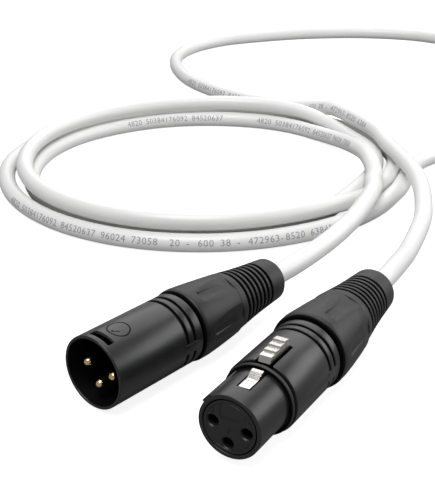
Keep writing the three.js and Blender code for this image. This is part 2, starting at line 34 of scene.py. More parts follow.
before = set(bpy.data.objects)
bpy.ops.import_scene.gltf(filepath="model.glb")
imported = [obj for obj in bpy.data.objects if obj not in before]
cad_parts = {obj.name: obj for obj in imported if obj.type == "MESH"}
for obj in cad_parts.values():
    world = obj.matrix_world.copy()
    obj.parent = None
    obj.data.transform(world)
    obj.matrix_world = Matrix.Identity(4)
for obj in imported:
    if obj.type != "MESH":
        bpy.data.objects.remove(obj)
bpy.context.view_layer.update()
SHELLS_BODY = "cable_and_shells"

MM = 0.001

# ---- sizes, in millimetres and degrees
# Angles round a connector: 0 is to the right seen from its front, 90 is up.
AXIS_Z = 10.2
CENTRING = (-0.079, -0.014)
DIGIT_SHARE = 0.72  # a digit's height as a share of its text size

CABLE_R = 3.0
# behind a nut's front: where the cable starts, is in the boot, leaves it, and where the boot ends
CABLE_START = 8.6
CABLE_IN_BOOT = 24.0
END_BEHIND_NUT = 38.7

CONTACT_RADIUS = 4.3
CONTACT_ANGLES = {1: -6.0, 2: 174.0, 3: 264.0}
CONTACT_STEPS = 32

SHELL_R = 9.5
TAIL_R = 7.9
TAIL_BORE = 6.6
TAIL_LENGTH = 7.2
GROOVES_BEFORE_SHOULDER = (5.9, 3.3)
GROOVE_WIDTH = 0.95
GROOVE_DEPTH = 0.62
KEY_ANGLE = -3.0
WINDOW_TURN = -8.0
RIB_ANGLE = 138.0
LATCH_Y = -0.6

NUT_OUTLINE = [
    (0.2, 9.6), (0.6, 10.0), (1.4, 10.18), (4.2, 10.2), (8.0, 9.98), (12.5, 9.6), (16.4, 9.15),
]
NUT_REAR_EDGE = (17.1, 8.95)
NUT_BORE = 8.5
NUT_REAR_BORE = 6.6
NUT_SHOULDER = 7.6
NUT_FLATS = 6
REAR_GAP = 0.8
BOOT_KNOTS = [(17.25, 8.72), (20.0, 8.35), (26.0, 7.5), (31.0, 6.95), (33.2, 6.75), (39.4, 6.2)]
BOOT_START = BOOT_KNOTS[0][0]
BOOT_GROOVES = 7
BOOT_GROOVE_DEPTH = 1.15

PRINT_ADVANCE = 1.72
PRINT_LIFT = 0.02
PRINT_TEXT = "4820 50384176092 84520637 96024 73058  20 - 600 38 - 472963-8520 638459   "
# start and end along the cable, angle round the jacket, and whether it reads against the lay
PRINTED = [
    (160.0, 224.0, 155.0, True), (238.0, 282.0, 155.0, True), (1213.0, 1342.0, 22.0, False),
    (1856.0, 1975.0, 22.0, False),
]

# ---- light, in metres
FLOOR_SEEN = 0.86
FLOOR_MIRRORED = 0.5
SKY_SEEN = 1.0
SKY_LIGHT = 0.16
SKY_MIRRORED = 0.29
# name, place, aim, width, height
LAMPS = [
    ("key", (-0.10, -0.26, 0.86), (0.0, 0.1, 0.0), 0.55, 0.55),
    ("right", (0.84, 0.20, 0.36), (0.0, 0.0, 0.0), 0.85, 0.42),
    ("back", (0.12, 0.74, 0.72), (0.0, 0.0, 0.0), 1.05, 1.05),
]


class End:
    """Where one connector stands, where its shell stops and how large its nut and boot look."""

    def __init__(self, x, y, heading, nut_start, shoulder, rear_length, rear_girth):
        self.x = x + CENTRING[0]
        self.y = y + CENTRING[1]
        self.heading = math.radians(heading)
        self.nut_start = nut_start
        self.shoulder = shoulder
        self.rear_length = rear_length
        self.rear_girth = rear_girth

    def matrix(self):
        place = Matrix.Translation(Vector((self.x, self.y, AXIS_Z)) * MM)
        return place @ Matrix.Rotation(self.heading, 4, "Z")

    def point(self, along):
        direction = Vector((math.cos(self.heading), math.sin(self.heading), 0.0))
        return Vector((self.x, self.y, AXIS_Z)) + direction * along


MALE = End(-34.4, -14.1, 49.59, 29.3, 29.25, 0.965, 0.975)
FEMALE = End(-2.2, -37.4, 59.42, 37.4, 37.15, 1.045, 1.02)


# ---- settings a user would change
class CableSettings(bpy.types.PropertyGroup):
    jacket: bpy.props.FloatVectorProperty(
        name="Jacket", description="Colour of the cable's jacket", subtype="COLOR",
        default=(0.74, 0.74, 0.735), min=0.0, max=1.0)
    ink: bpy.props.FloatVectorProperty(
        name="Ink", description="Colour of the printed length marks", subtype="COLOR",
        default=(0.30, 0.30, 0.31), min=0.0, max=1.0)
    digit_height: bpy.props.FloatProperty(
        name="Digit Height", description="Height of the printed length marks",
        default=0.0023, min=0.001, max=0.004, unit="LENGTH")
    facets: bpy.props.IntProperty(
        name="Facets", description="Facets round the cable", default=24, min=12, max=48)


class ConnectorSettings(bpy.types.PropertyGroup):
    coat: bpy.props.FloatVectorProperty(
        name="Coat", description="Colour of the die-cast shells", subtype="COLOR",
        default=(0.011, 0.011, 0.0115), min=0.0, max=1.0)
    nut: bpy.props.FloatVectorProperty(
        name="Nut", description="Colour of the gland nuts", subtype="COLOR",
        default=(0.0105, 0.0105, 0.0108), min=0.0, max=1.0)
    rubber: bpy.props.FloatVectorProperty(
        name="Rubber", description="Colour of the strain relief boots", subtype="COLOR",
        default=(0.0105, 0.0105, 0.0108), min=0.0, max=1.0)
    steps: bpy.props.IntProperty(
        name="Steps", description="Facets round a turned piece", default=96, min=32, max=192)


class StageSettings(bpy.types.PropertyGroup):
    floor: bpy.props.FloatVectorProperty(
        name="Floor", description="Colour of the floor", subtype="COLOR",
        default=(0.48, 0.48, 0.48), min=0.0, max=1.0)
    key_power: bpy.props.FloatProperty(
        name="Key Power", description="Power of the lamp overhead", default=7.7, min=0.0)
    side_power: bpy.props.FloatProperty(
        name="Side Power", description="Power of the lamp on the right", default=3.7, min=0.0)
    back_power: bpy.props.FloatProperty(
        name="Back Power", description="Power of the lamp behind", default=6.0, min=0.0)


# ---- mesh helpers
def nothing_selected():
    if bpy.context.mode != "OBJECT":
        bpy.ops.object.mode_set(mode="OBJECT")
    bpy.ops.object.select_all(action="DESELECT")


def make_active(obj):
    nothing_selected()
    obj.select_set(True)
    bpy.context.view_layer.objects.active = obj


def face_outward(obj, merge=0.0):
    """Merges corners closer than that distance and points every face outward."""
    make_active(obj)
    bpy.ops.object.mode_set(mode="EDIT")
    bpy.ops.mesh.select_all(action="SELECT")
    if merge:
        bpy.ops.mesh.remove_doubles(threshold=merge)
    bpy.ops.mesh.normals_make_consistent(inside=False)
    bpy.ops.object.mode_set(mode="OBJECT")
    return obj


def apply_modifiers(obj):
    make_active(obj)
    for modifier in list(obj.modifiers):
        bpy.ops.object.modifier_apply(modifier=modifier.name)


def rounded(profile, radius):
    """The closed outline with each corner replaced by a short curve."""
    result = []
    for i, point in enumerate(profile):
        here = Vector(point)
        back = Vector(profile[i - 1]) - here
        on = Vector(profile[(i + 1) % len(profile)]) - here
        straight = abs(back.normalized().dot(on.normalized())) > 0.97
        if here.y < 1e-6 or straight:
            result.append((here.x, here.y))
            continue
        reach = min(radius, 0.42 * back.length, 0.42 * on.length)
        start = here + back.normalized() * reach
        end = here + on.normalized() * reach
        for t in (0.0, 0.33, 0.67, 1.0):
            p = start * (1 - t) ** 2 + here * (2 * t * (1 - t)) + end * t ** 2
            result.append((p.x, p.y))
    return result


def ring(name, corners, fill="NOTHING"):
    """A closed line through the corners, bare or filled, open for editing."""
    nothing_selected()
    bpy.ops.mesh.primitive_circle_add(vertices=len(corners), radius=0.01, fill_type=fill)
    obj = bpy.context.active_object
    obj.name = name
    for vertex, corner in zip(obj.data.vertices, corners):
        vertex.co = [value * MM for value in corner]
    bpy.ops.object.mode_set(mode="EDIT")
    bpy.ops.mesh.select_all(action="SELECT")
    return obj


def turned(name, profile, steps=0, corner=0.0):
    """Spins a closed outline of (distance along the axis, radius) round local X."""
    outline = rounded(profile, corner) if corner else profile
    steps = steps or bpy.context.scene.connector_settings.steps
    obj = ring(name, [(along, 0.0, -radius) for along, radius in outline])
    bpy.ops.mesh.spin(steps=steps, angle=2 * math.pi, center=(0, 0, 0), axis=(1, 0, 0))
    bpy.ops.mesh.select_all(action="SELECT")
    bpy.ops.mesh.remove_doubles(threshold=1e-6)
    bpy.ops.mesh.dissolve_degenerate(threshold=1e-7)
    bpy.ops.mesh.delete_loose(use_verts=True, use_edges=True, use_faces=False)
    return face_outward(obj)


def block(name, x0, x1, y0, y1, z0, z1, bevel=0.0, segments=3):
    """A block between two corners, its edges rounded by bevel."""
    nothing_selected()
    centre = Vector(((x0 + x1) / 2, (y0 + y1) / 2, (z0 + z1) / 2)) * MM
    bpy.ops.mesh.primitive_cube_add(size=1.0, location=centre)
    obj = bpy.context.active_object
    obj.name = name
    obj.scale = Vector((x1 - x0, y1 - y0, z1 - z0)) * MM
    bpy.ops.object.transform_apply(location=True, rotation=False, scale=True)
    if bevel:
        bpy.ops.object.mode_set(mode="EDIT")
        bpy.ops.mesh.select_all(action="SELECT")
        bpy.ops.mesh.bevel(offset=bevel * MM, segments=segments, affect="EDGES")
        bpy.ops.object.mode_set(mode="OBJECT")
    return obj


def outlined(name, outline, width, centre_y):
    """A plate with the outline in local X and Z, and that width across."""
    obj = ring(name, [(x, centre_y - width / 2, z) for x, z in outline], "NGON")
    bpy.ops.mesh.extrude_region_move(TRANSFORM_OT_translate={"value": (0, width * MM, 0)})
    return face_outward(obj)


def mesh_piece(name, corners, faces, material):
    """A new piece from its corners and faces."""
    mesh = bpy.data.meshes.new(name)
    mesh.from_pydata([tuple(corner) for corner in corners], [], faces)
    mesh.update()
    mesh.materials.append(material)
    obj = bpy.data.objects.new(name, mesh)
    bpy.context.collection.objects.link(obj)
    return obj


def text_mesh(text, height, resolution, thickness=0.0, align="LEFT"):
    """Text as a mesh, its digits of that height."""
    nothing_selected()
    bpy.ops.object.text_add()
    curve = bpy.context.active_object.data
    curve.body = text
    curve.size = height / DIGIT_SHARE
    curve.extrude = thickness / 2
    curve.align_x = align
    curve.resolution_u = resolution
    bpy.ops.object.convert(target="MESH")
    return bpy.context.active_object


def roll(obj, degrees):
    """Turns a piece round its connector's axis, from the right over the top to the left."""
    obj.data.transform(Matrix.Rotation(-math.radians(degrees), 4, "X"))
    return obj


def slide(obj, x=0.0, y=0.0, z=0.0):
    obj.data.transform(Matrix.Translation(Vector((x, y, z)) * MM))
    return obj


def bend_onto(obj, radius, around):
    """Wraps a flat outline about the connector's axis, its local Y running round the shell."""
    for vertex in obj.data.vertices:
        x, y, z = vertex.co
        angle = (y / MM - around) / radius
        reach = radius * MM + z
        vertex.co = (x, reach * math.sin(angle), reach * math.cos(angle))
    obj.data.update()
    return obj


def combine(obj, tools, operation):
    """Joins or cuts with the tools, which are used up."""
    for tool in tools:
        modifier = obj.modifiers.new("combine", "BOOLEAN")
        modifier.operation = operation
        modifier.solver = "EXACT"
        modifier.object = tool
    apply_modifiers(obj)
    for tool in tools:
        bpy.data.objects.remove(tool)
    return obj


def cut(obj, *tools):
    return combine(obj, tools, "DIFFERENCE")


def weld(obj, *tools):
    return combine(obj, tools, "UNION")


def gather(obj, pieces):
    """Makes other closed pieces part of this one."""
    make_active(obj)
    for piece in pieces:
        piece.select_set(True)
    bpy.ops.object.join()
    return obj


def soften(obj, width, angle):
    """Rounds the edges sharper than an angle."""
    modifier = obj.modifiers.new("soften", "BEVEL")
    modifier.width = width * MM
    modifier.segments = 2
    modifier.limit_method = "ANGLE"
    modifier.angle_limit = math.radians(angle)
    apply_modifiers(obj)
    return obj


def at_contact(number, obj):
    """Moves a piece from the connector's axis to the place of one contact."""
    angle = math.radians(CONTACT_ANGLES[number])
    return slide(obj, y=-CONTACT_RADIUS * math.cos(angle), z=CONTACT_RADIUS * math.sin(angle))


def mark_sunk(obj, radius, start, end):
    """Sets the faces below an outer radius apart, so that put gives them black painted shade."""
    for face in obj.data.polygons:
        x, y, z = face.center / MM
        if start < x < end and math.hypot(y, z) < radius:
            face.material_index = 1


def put(obj, end, body, material, replaced=(), smooth=38.0):
    """Moves a piece from its connector's own axes to the frame and gives it its finish."""
    marked = [face.material_index for face in obj.data.polygons]
    obj.data.transform(end.matrix())
    obj.data.update()
    obj.data.materials.clear()
    obj.data.materials.append(material)
    # faces set apart by mark_sunk get the black painted shade material
    if any(marked):
        obj.data.materials.append(painted_shade_material())
        obj.data.polygons.foreach_set("material_index", marked)
    make_active(obj)
    bpy.ops.object.shade_smooth_by_angle(angle=math.radians(smooth))
    if replaced:
        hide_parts(*replaced)
    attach(obj, body)
    return obj


# ---- materials
def add_node(tree, kind, inputs=None, **settings):
    """Adds a shader node with its settings and the values of its inputs."""
    node = tree.nodes.new(kind)
    for name, value in settings.items():
        setattr(node, name, value)
    for name, value in (inputs or {}).items():
        node.inputs[name].default_value = value
    return node


def grain_group():
    """Fine uneven surface: a height for bump and a 0 to 1 value for colour and roughness."""
    name = "Fine Grain"
    if name in bpy.data.node_groups:
        return bpy.data.node_groups[name]
    group = bpy.data.node_groups.new(name, "ShaderNodeTree")
    sockets = (("Size", "INPUT"), ("Blotch Size", "INPUT"), ("Height", "OUTPUT"), ("Variation", "OUTPUT"))
    for label, way in sockets:
        group.interface.new_socket(label, in_out=way, socket_type="NodeSocketFloat")
    links = group.links
    inward = add_node(group, "NodeGroupInput")
    outward = add_node(group, "NodeGroupOutput")
    place = add_node(group, "ShaderNodeTexCoord")
    fine = add_node(group, "ShaderNodeTexNoise", {"Detail": 3.0})
    broad = add_node(group, "ShaderNodeTexNoise", {"Detail": 4.0})
    links.new(place.outputs["Object"], fine.inputs["Vector"])
    links.new(place.outputs["Object"], broad.inputs["Vector"])
    links.new(inward.outputs["Size"], fine.inputs["Scale"])
    links.new(inward.outputs["Blotch Size"], broad.inputs["Scale"])
    links.new(fine.outputs["Fac"], outward.inputs["Height"])
    links.new(broad.outputs["Fac"], outward.inputs["Variation"])
    return group


def finish_material(name, colour, roughness, metallic=0.0, grain=4000.0, blotch=300.0, bump=0.05,
                    contrast=0.12, rough_range=0.06, specular=0.5):
    """A Principled material whose colour, roughness and bump vary finely over the surface."""
    if name in bpy.data.materials:
        return bpy.data.materials[name]
    material = bpy.data.materials.new(name)
    material.use_nodes = True
    tree = material.node_tree
    links = tree.links
    shader = tree.nodes["Principled BSDF"]
    shader.inputs["Metallic"].default_value = metallic
    shader.inputs["Specular IOR Level"].default_value = specular
    surface = add_node(tree, "ShaderNodeGroup", {"Size": grain, "Blotch Size": blotch},
                       node_tree=grain_group())
    dark = (*[c * (1 - contrast) for c in colour], 1)
    light = (*[min(1.0, c * (1 + contrast)) for c in colour], 1)
    mix = add_node(tree, "ShaderNodeMix", {"A": dark, "B": light}, data_type="RGBA")
    links.new(surface.outputs["Variation"], mix.inputs["Factor"])
    links.new(mix.outputs["Result"], shader.inputs["Base Color"])
    spread = add_node(tree, "ShaderNodeMapRange",
                      {"To Min": roughness - rough_range, "To Max": roughness + rough_range})
    links.new(surface.outputs["Variation"], spread.inputs["Value"])
    links.new(spread.outputs["Result"], shader.inputs["Roughness"])
    relief = add_node(tree, "ShaderNodeBump", {"Strength": bump, "Distance": 0.1 * MM})
    links.new(surface.outputs["Height"], relief.inputs["Height"])
    links.new(relief.outputs["Normal"], shader.inputs["Normal"])
    return material


def coat_material():
    colour = tuple(bpy.context.scene.connector_settings.coat)
    return finish_material("satin_charcoal_coat", colour, 0.34, grain=5200.0, bump=0.14)


def nut_material():
    colour = tuple(bpy.context.scene.connector_settings.nut)
    return finish_material("moulded_nut_plastic", colour, 0.46, grain=6500.0, bump=0.12, specular=0.4)


def rubber_material():
    colour = tuple(bpy.context.scene.connector_settings.rubber)
    return finish_material("boot_rubber", colour, 0.52, grain=7000.0, bump=0.18, contrast=0.2)


def insert_material():
    return finish_material("contact_insert_nylon", (0.009, 0.009, 0.0095), 0.48, grain=5000.0, bump=0.15)


def gold_material():
    return finish_material("contact_gold", (0.34, 0.25, 0.12), 0.3, metallic=1.0, grain=2600.0,
                           contrast=0.06)


def pin_material():
    """Gold with painted shade: its colour darkens with its depth in the plug's mouth."""
    name = "pin_gold_painted_shade"
    if name in bpy.data.materials:
        return bpy.data.materials[name]
    material = finish_material(name, (0.95, 0.75, 0.42), 0.18, metallic=1.0, grain=2600.0, contrast=0.06)
    tree = material.node_tree
    links = tree.links
    shader = tree.nodes["Principled BSDF"]
    plain = shader.inputs["Base Color"].links[0].from_socket
    heading = Vector((math.cos(MALE.heading), math.sin(MALE.heading), 0.0))
    mouth = heading.dot(MALE.point(0.0)) * MM
    bright_to, dark_from, darkest = 2.5 * MM, 7.0 * MM, 0.12
    place = add_node(tree, "ShaderNodeTexCoord")
    along = add_node(tree, "ShaderNodeVectorMath", {1: heading}, operation="DOT_PRODUCT")
    depth = add_node(tree, "ShaderNodeMapRange", {
        "From Min": mouth + bright_to, "From Max": mouth + dark_from, "To Min": 1.0, "To Max": darkest})
    shade = add_node(tree, "ShaderNodeMix", {"Factor": 1.0}, data_type="RGBA", blend_type="MULTIPLY")
    links.new(place.outputs["Object"], along.inputs[0])
    links.new(along.outputs["Value"], depth.inputs["Value"])
    links.new(depth.outputs["Result"], shade.inputs["B"])
    links.new(plain, shade.inputs["A"])
    links.new(shade.outputs["Result"], shader.inputs["Base Color"])
    return material


def nickel_material():
    return finish_material("satin_nickel", (0.65, 0.63, 0.605), 0.25, metallic=0.92, grain=3000.0,
                           contrast=0.04)


def plain_steel_material():
    return finish_material("bare_spring_steel", (0.45, 0.45, 0.46), 0.34, metallic=1.0)


def core_material(name, colour, metallic=0.0):
    return finish_material(name, colour, 0.42, metallic=metallic, grain=3000.0, bump=0.08)


def jacket_material():
    colour = tuple(bpy.context.scene.cable_settings.jacket)
    return finish_material("white_vinyl", colour, 0.36, grain=1800.0, blotch=60.0, contrast=0.015,
                           rough_range=0.04)


def ink_material():
    colour = tuple(bpy.context.scene.cable_settings.ink)
    return finish_material("printed_ink", colour, 0.5, grain=9000.0, blotch=2500.0, bump=0.0,
                           contrast=0.25)


def painted_shade_material():
    """Near-black painted shade for the faces inside bores, slots and grooves."""
    return finish_material("painted_shade_black", (0.0016, 0.0016, 0.0017), 0.62, grain=5200.0, bump=0.08,
                           specular=0.08)


# ---- the route of the cable
COIL_CENTRE = (-10.8, 150.4)
COIL_ROUTE = [
    (-31, 69.3, 10.1), (-25, 67.2, 9.8), (-18, 64.7, 9.5), (-9, 62.1, 9.5), (-3, 60.7, 9.3), (5, 59.3, 8.2),
    (13, 59.0, 6.8), (21, 59.3, 5.4), (31, 60.0, 3.9), (42, 60.5, 3), (60, 60.0, 3), (75, 58.8, 3),
    (90, 58.1, 3), (108, 58.0, 3), (126, 58.4, 3), (144, 59.8, 3), (159, 60.9, 3), (180, 62.1, 3),
    (195, 63.2, 3), (230, 64.8, 3), (272, 65.0, 3), (296, 64.8, 3), (308, 63.3, 3), (317, 61.5, 3),
    (323, 60.5, 3), (331, 60.1, 3), (340, 60.9, 3), (348, 62.7, 3), (356, 64.3, 3), (364, 66.2, 3),
    (372, 67.6, 3), (382, 68.0, 3), (391, 68.0, 3.4), (399, 67.2, 5.2), (405, 66.2, 7.0), (411, 65.0, 8.4),
    (419, 63.4, 9.2), (440, 60.9, 9.4), (452, 59.4, 9.5), (468, 58.9, 9.5), (486, 59.3, 9.5),
    (504, 60.7, 9.5), (519, 62.0, 9.5), (540, 63.8, 9.4), (564, 66.3, 9.1), (590, 67.9, 8.9),
    (632, 68.4, 8.9), (654, 68.4, 8.8), (666, 68.2, 8.2), (674, 67.8, 7.3), (680, 67.3, 6.0),
    (686, 66.9, 4.7), (692, 66.6, 3.5), (699, 67.3, 3), (706, 68.8, 3), (712, 70.2, 3), (718, 71.8, 3),
    (725, 73.7, 3), (733, 74.5, 3), (745, 74.7, 3), (757, 73.8, 3), (765, 72.2, 3), (771, 70.6, 3),
    (779, 69.0, 3), (792, 67.8, 3), (810, 67.4, 3), (830, 67.4, 3), (846, 68.0, 3), (864, 69.3, 3),
    (885, 70.9, 3), (900, 72.0, 3), (915, 71.9, 3), (960, 71.9, 3), (992, 71.9, 3), (1016, 72.3, 3),
    (1028, 72.9, 3), (1038, 73.4, 3), (1046, 73.7, 3), (1056, 74.0, 3), (1062, 74.8, 3),
]
MALE_ROUTE = [
    (25.4, 58.4, 10.2), (32.6, 70.2, 10.3), (39.0, 83.0, 10.4), (44.6, 97.0, 10.4), (48.0, 108.2, 10.3),
]
TAIL_ROUTE = [
    (67.5, 146.8, 3), (71.9, 154.6, 3), (78.9, 161.8, 3), (87.9, 168.4, 3), (99, 176.6, 3), (112, 188.6, 3),
    (124, 205.6, 3), (133, 228.6, 3), (139, 256.6, 3), (141.5, 286.6, 3), (138, 314.6, 3), (127, 339.6, 3),
    (106, 358.6, 3), (77, 366.1, 3), (42.7, 364.1, 3), (17.7, 357, 3), (-2.2, 347.9, 3), (-17, 333.1, 3),
    (-24.6, 315.6, 3), (-25.3, 296.7, 3), (-19.2, 272.6, 3), (-10.5, 257.2, 3), (1.5, 243.2, 3),
    (14.5, 233.4, 3), (26.3, 225.5, 3.2), (32.5, 217.8, 5.0), (38.2, 210.0, 7.4), (43.0, 202.6, 9.4),
    (47.4, 194.6, 9.8),
    (57.0, 172.4, 9.7), (59.6, 157.4, 9.4), (61.9, 144.8, 9.6), (63.8, 132.4, 9.8), (64.8, 121.4, 9.7),
    (64.9, 110.6, 8.9), (64.1, 102.0, 7.4), (62.5, 93.0, 5.8), (58.8, 81.9, 4.9), (52.8, 64.9, 5.7),
    (48.5, 53.2, 7.8),
]
LEAD_STRAIGHT = 10.0
PATH_STEP = 1.2
COIL_STEP = 6


def coil_point(angle):
    """The cable's centre at an angle round the coil, from the table's rows."""
    rows = COIL_ROUTE
    last = len(rows) - 1
    i = next((k for k in range(last) if rows[k + 1][0] > angle), last - 1)

    def slope(k, column):
        low, high = rows[max(k - 1, 0)], rows[min(k + 1, last)]
        return (high[column] - low[column]) / (high[0] - low[0])

    span = rows[i + 1][0] - rows[i][0]
    t = (angle - rows[i][0]) / span

    def value(column):
        return ((2 * t ** 3 - 3 * t ** 2 + 1) * rows[i][column]
                + (t ** 3 - 2 * t ** 2 + t) * span * slope(i, column)
                + (3 * t ** 2 - 2 * t ** 3) * rows[i + 1][column]
                + (t ** 3 - t ** 2) * span * slope(i + 1, column))

    radius = value(1)
    turn = math.radians(angle)
    return Vector((COIL_CENTRE[0] + CENTRING[0] + radius * math.cos(turn),
                   COIL_CENTRE[1] + CENTRING[1] + radius * math.sin(turn),
                   max(value(2), CABLE_R)))


def between(a, b, at_a, at_b, t):
    return a * ((at_b - t) / (at_b - at_a)) + b * ((t - at_a) / (at_b - at_a))


def centripetal(points, per_span):
    """A smooth curve through the points."""
    result = []
    ends = [points[0] * 2 - points[1]] + list(points) + [points[-1] * 2 - points[-2]]
    for i in range(1, len(ends) - 2):
        p0, p1, p2, p3 = ends[i - 1:i + 3]
        t0 = 0.0
        t1 = t0 + (p1 - p0).length ** 0.5
        t2 = t1 + (p2 - p1).length ** 0.5
        t3 = t2 + (p3 - p2).length ** 0.5
        for k in range(per_span):
            t = t1 + (t2 - t1) * k / per_span
            a1 = between(p0, p1, t0, t1, t)
            a2 = between(p1, p2, t1, t2, t)
            a3 = between(p2, p3, t2, t3, t)
            b1 = between(a1, a2, t0, t2, t)
            b2 = between(a2, a3, t1, t3, t)
            result.append(between(b1, b2, t1, t2, t))
    result.append(ends[-2])
    return result


def shifted(rows):
    """The rows of a route table as points of the frame."""
    return [Vector((x + CENTRING[0], y + CENTRING[1], z)) for x, y, z in rows]


def evenly(points, step):
    """The same line with its points an even step apart."""
    distances = [0.0]
    for a, b in zip(points, points[1:]):
        distances.append(distances[-1] + (b - a).length)
    count = round(distances[-1] / step)
    result = []
    k = 0
    for i in range(count + 1):
        want = distances[-1] * i / count
        while k < len(points) - 2 and distances[k + 1] < want:
            k += 1
        share = (want - distances[k]) / max(distances[k + 1] - distances[k], 1e-9)
        result.append(points[k].lerp(points[k + 1], share))
    return result


def cable_route():
    """The whole centreline in millimetres, from inside the plug's boot to inside the socket's."""
    coil = [coil_point(angle) for angle in range(COIL_ROUTE[0][0], COIL_ROUTE[-1][0] + 1, COIL_STEP)]
    male_end = MALE.nut_start + END_BEHIND_NUT
    female_end = FEMALE.nut_start + END_BEHIND_NUT
    through_male = [MALE.point(MALE.nut_start + s) for s in (CABLE_START, CABLE_IN_BOOT)]
    through_female = [FEMALE.point(FEMALE.nut_start + s) for s in (CABLE_IN_BOOT, CABLE_START)]
    points = [
        *through_male, MALE.point(male_end), MALE.point(male_end + LEAD_STRAIGHT),
        *shifted(MALE_ROUTE), *coil, *shifted(TAIL_ROUTE),
        FEMALE.point(female_end + LEAD_STRAIGHT), FEMALE.point(female_end), *through_female,
    ]
    return evenly(centripetal(points, 10), PATH_STEP)


def section_axes(path, i):
    """Sideways and upward directions across the cable at one point of its route."""
    tangent = (path[min(i + 1, len(path) - 1)] - path[max(i - 1, 0)]).normalized()
    side = tangent.cross(Vector((0, 0, 1))).normalized()
    return side, side.cross(tangent)


def on_jacket(path, along, angle, height):
    """A point just above the jacket, in metres, for a place along and round it."""
    index = min(max(along / PATH_STEP, 0.0), len(path) - 1.001)
    i = int(index)
    centre = path[i].lerp(path[i + 1], index - i)
    side, up = section_axes(path, i)
    side_next, up_next = section_axes(path, i + 1)
    side = side.lerp(side_next, index - i)
    up = up.lerp(up_next, index - i)
    turn = math.radians(angle) + height / CABLE_R
    reach = CABLE_R + PRINT_LIFT
    return (centre + (side * math.cos(turn) + up * math.sin(turn)) * reach) * MM


# ---- operators
class STAGE_OT_set(bpy.types.Operator):
    """Add the floor, lamps and camera"""
    bl_idname = "cable_coil.stage"
    bl_label = "Stage"

    def execute(self, context):
        settings = context.scene.stage_settings
        self.floor(context, settings.floor)
        self.sky(context)
        powers = (settings.key_power, settings.side_power, settings.back_power)
        for row, power in zip(LAMPS, powers):
            self.lamp(context, *row, power)
        self.camera(context)
        context.scene.view_settings.view_transform = "Standard"
        return {"FINISHED"}

    def floor(self, context, colour):
        """A matt floor that the camera sees brighter and the shiny pieces mirror darker."""
        size, centre, drop = 8.0, 1.0, 0.02 * MM
        nothing_selected()
        bpy.ops.mesh.primitive_plane_add(size=size, location=(0, centre, -drop))
        floor = context.active_object
        floor.name = "floor"
        material = bpy.data.materials.new("pale_floor")
        material.use_nodes = True
        tree = material.node_tree
        shader = tree.nodes["Principled BSDF"]
        shader.inputs["Roughness"].default_value = 0.9
        shader.inputs["Specular IOR Level"].default_value = 0.0
        shader.inputs["Emission Color"].default_value = (1, 1, 1, 1)
        seen = add_node(tree, "ShaderNodeLightPath")
        lift = add_node(tree, "ShaderNodeMath", {1: FLOOR_SEEN}, operation="MULTIPLY")
        plain = (*colour, 1)
        mirrored = (*[c * FLOOR_MIRRORED for c in colour], 1)
        mix = add_node(tree, "ShaderNodeMix", {"A": plain, "B": mirrored}, data_type="RGBA")
        tree.links.new(seen.outputs["Is Camera Ray"], lift.inputs[0])
        tree.links.new(lift.outputs["Value"], shader.inputs["Emission Strength"])
        tree.links.new(seen.outputs["Is Glossy Ray"], mix.inputs["Factor"])
        tree.links.new(mix.outputs["Result"], shader.inputs["Base Color"])
        floor.data.materials.append(material)

    def sky(self, context):
        """A white surround with its own level for the camera, for mirrored and for other light."""
        world = bpy.data.worlds.new("studio")
        world.use_nodes = True
        tree = world.node_tree
        background = tree.nodes["Background"]
        background.inputs["Color"].default_value = (1, 1, 1, 1)
        path = add_node(tree, "ShaderNodeLightPath")
        level = add_node(tree, "ShaderNodeMapRange", {"To Max": SKY_SEEN})
        mirrored = add_node(tree, "ShaderNodeMapRange", {"To Min": SKY_LIGHT, "To Max": SKY_MIRRORED})
        tree.links.new(path.outputs["Is Glossy Ray"], mirrored.inputs["Value"])
        tree.links.new(mirrored.outputs["Result"], level.inputs["To Min"])
        tree.links.new(path.outputs["Is Camera Ray"], level.inputs["Value"])
        tree.links.new(level.outputs["Result"], background.inputs["Strength"])
        context.scene.world = world

    def lamp(self, context, name, place, aim, width, height, power):
        nothing_selected()
        bpy.ops.object.light_add(type="AREA", location=place)
        lamp = context.active_object
        lamp.name = name
        lamp.data.shape = "RECTANGLE"
        lamp.data.size = width
        lamp.data.size_y = height
        lamp.data.energy = power
        lamp.rotation_euler = (Vector(aim) - Vector(place)).to_track_quat("-Z", "Y").to_euler()

    def camera(self, context):
        pitch_down = 24.1
        focal_pixels = 1106.7
        frame_height = 495.0
        sensor = 24.0
        nothing_selected()
        bpy.ops.object.camera_add(location=(-0.0048, -0.24161, 0.1446))
        camera = context.active_object
        camera.name = "camera"
        camera.rotation_euler = (math.radians(90 - pitch_down), 0, 0)
        camera.data.sensor_fit = "VERTICAL"
        camera.data.sensor_height = sensor
        camera.data.lens = sensor * focal_pixels / frame_height
        camera.data.clip_start = 0.01
        context.scene.camera = camera


class CABLE_OT_add(bpy.types.Operator):
    """Add the cable from the plug, round its three turns and back to the socket"""
    bl_idname = "cable_coil.cable"
    bl_label = "Cable"

    def execute(self, context):
        settings = context.scene.cable_settings
        path = cable_route()
        sides = settings.facets
        corners = []
        faces = []
        for i, centre in enumerate(path):
            side, up = section_axes(path, i)
            for k in range(sides):
                angle = 2 * math.pi * k / sides
                corners.append((centre + (side * math.cos(angle) + up * math.sin(angle)) * CABLE_R) * MM)
        for i in range(len(path) - 1):
            for k in range(sides):
                a = i * sides + k
                b = i * sides + (k + 1) % sides
                faces.append((a, b, b + sides, a + sides))
        last = (len(path) - 1) * sides
        faces.append(tuple(range(sides))[::-1])
        faces.append(tuple(last + k for k in range(sides)))
        cable = face_outward(mesh_piece("cable", corners, faces, jacket_material()))
        bpy.ops.object.shade_smooth_by_angle(angle=math.radians(50))
        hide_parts("cable_male_lead", "cable_coil", "cable_tail")
        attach(cable, SHELLS_BODY)
        return {"FINISHED"}


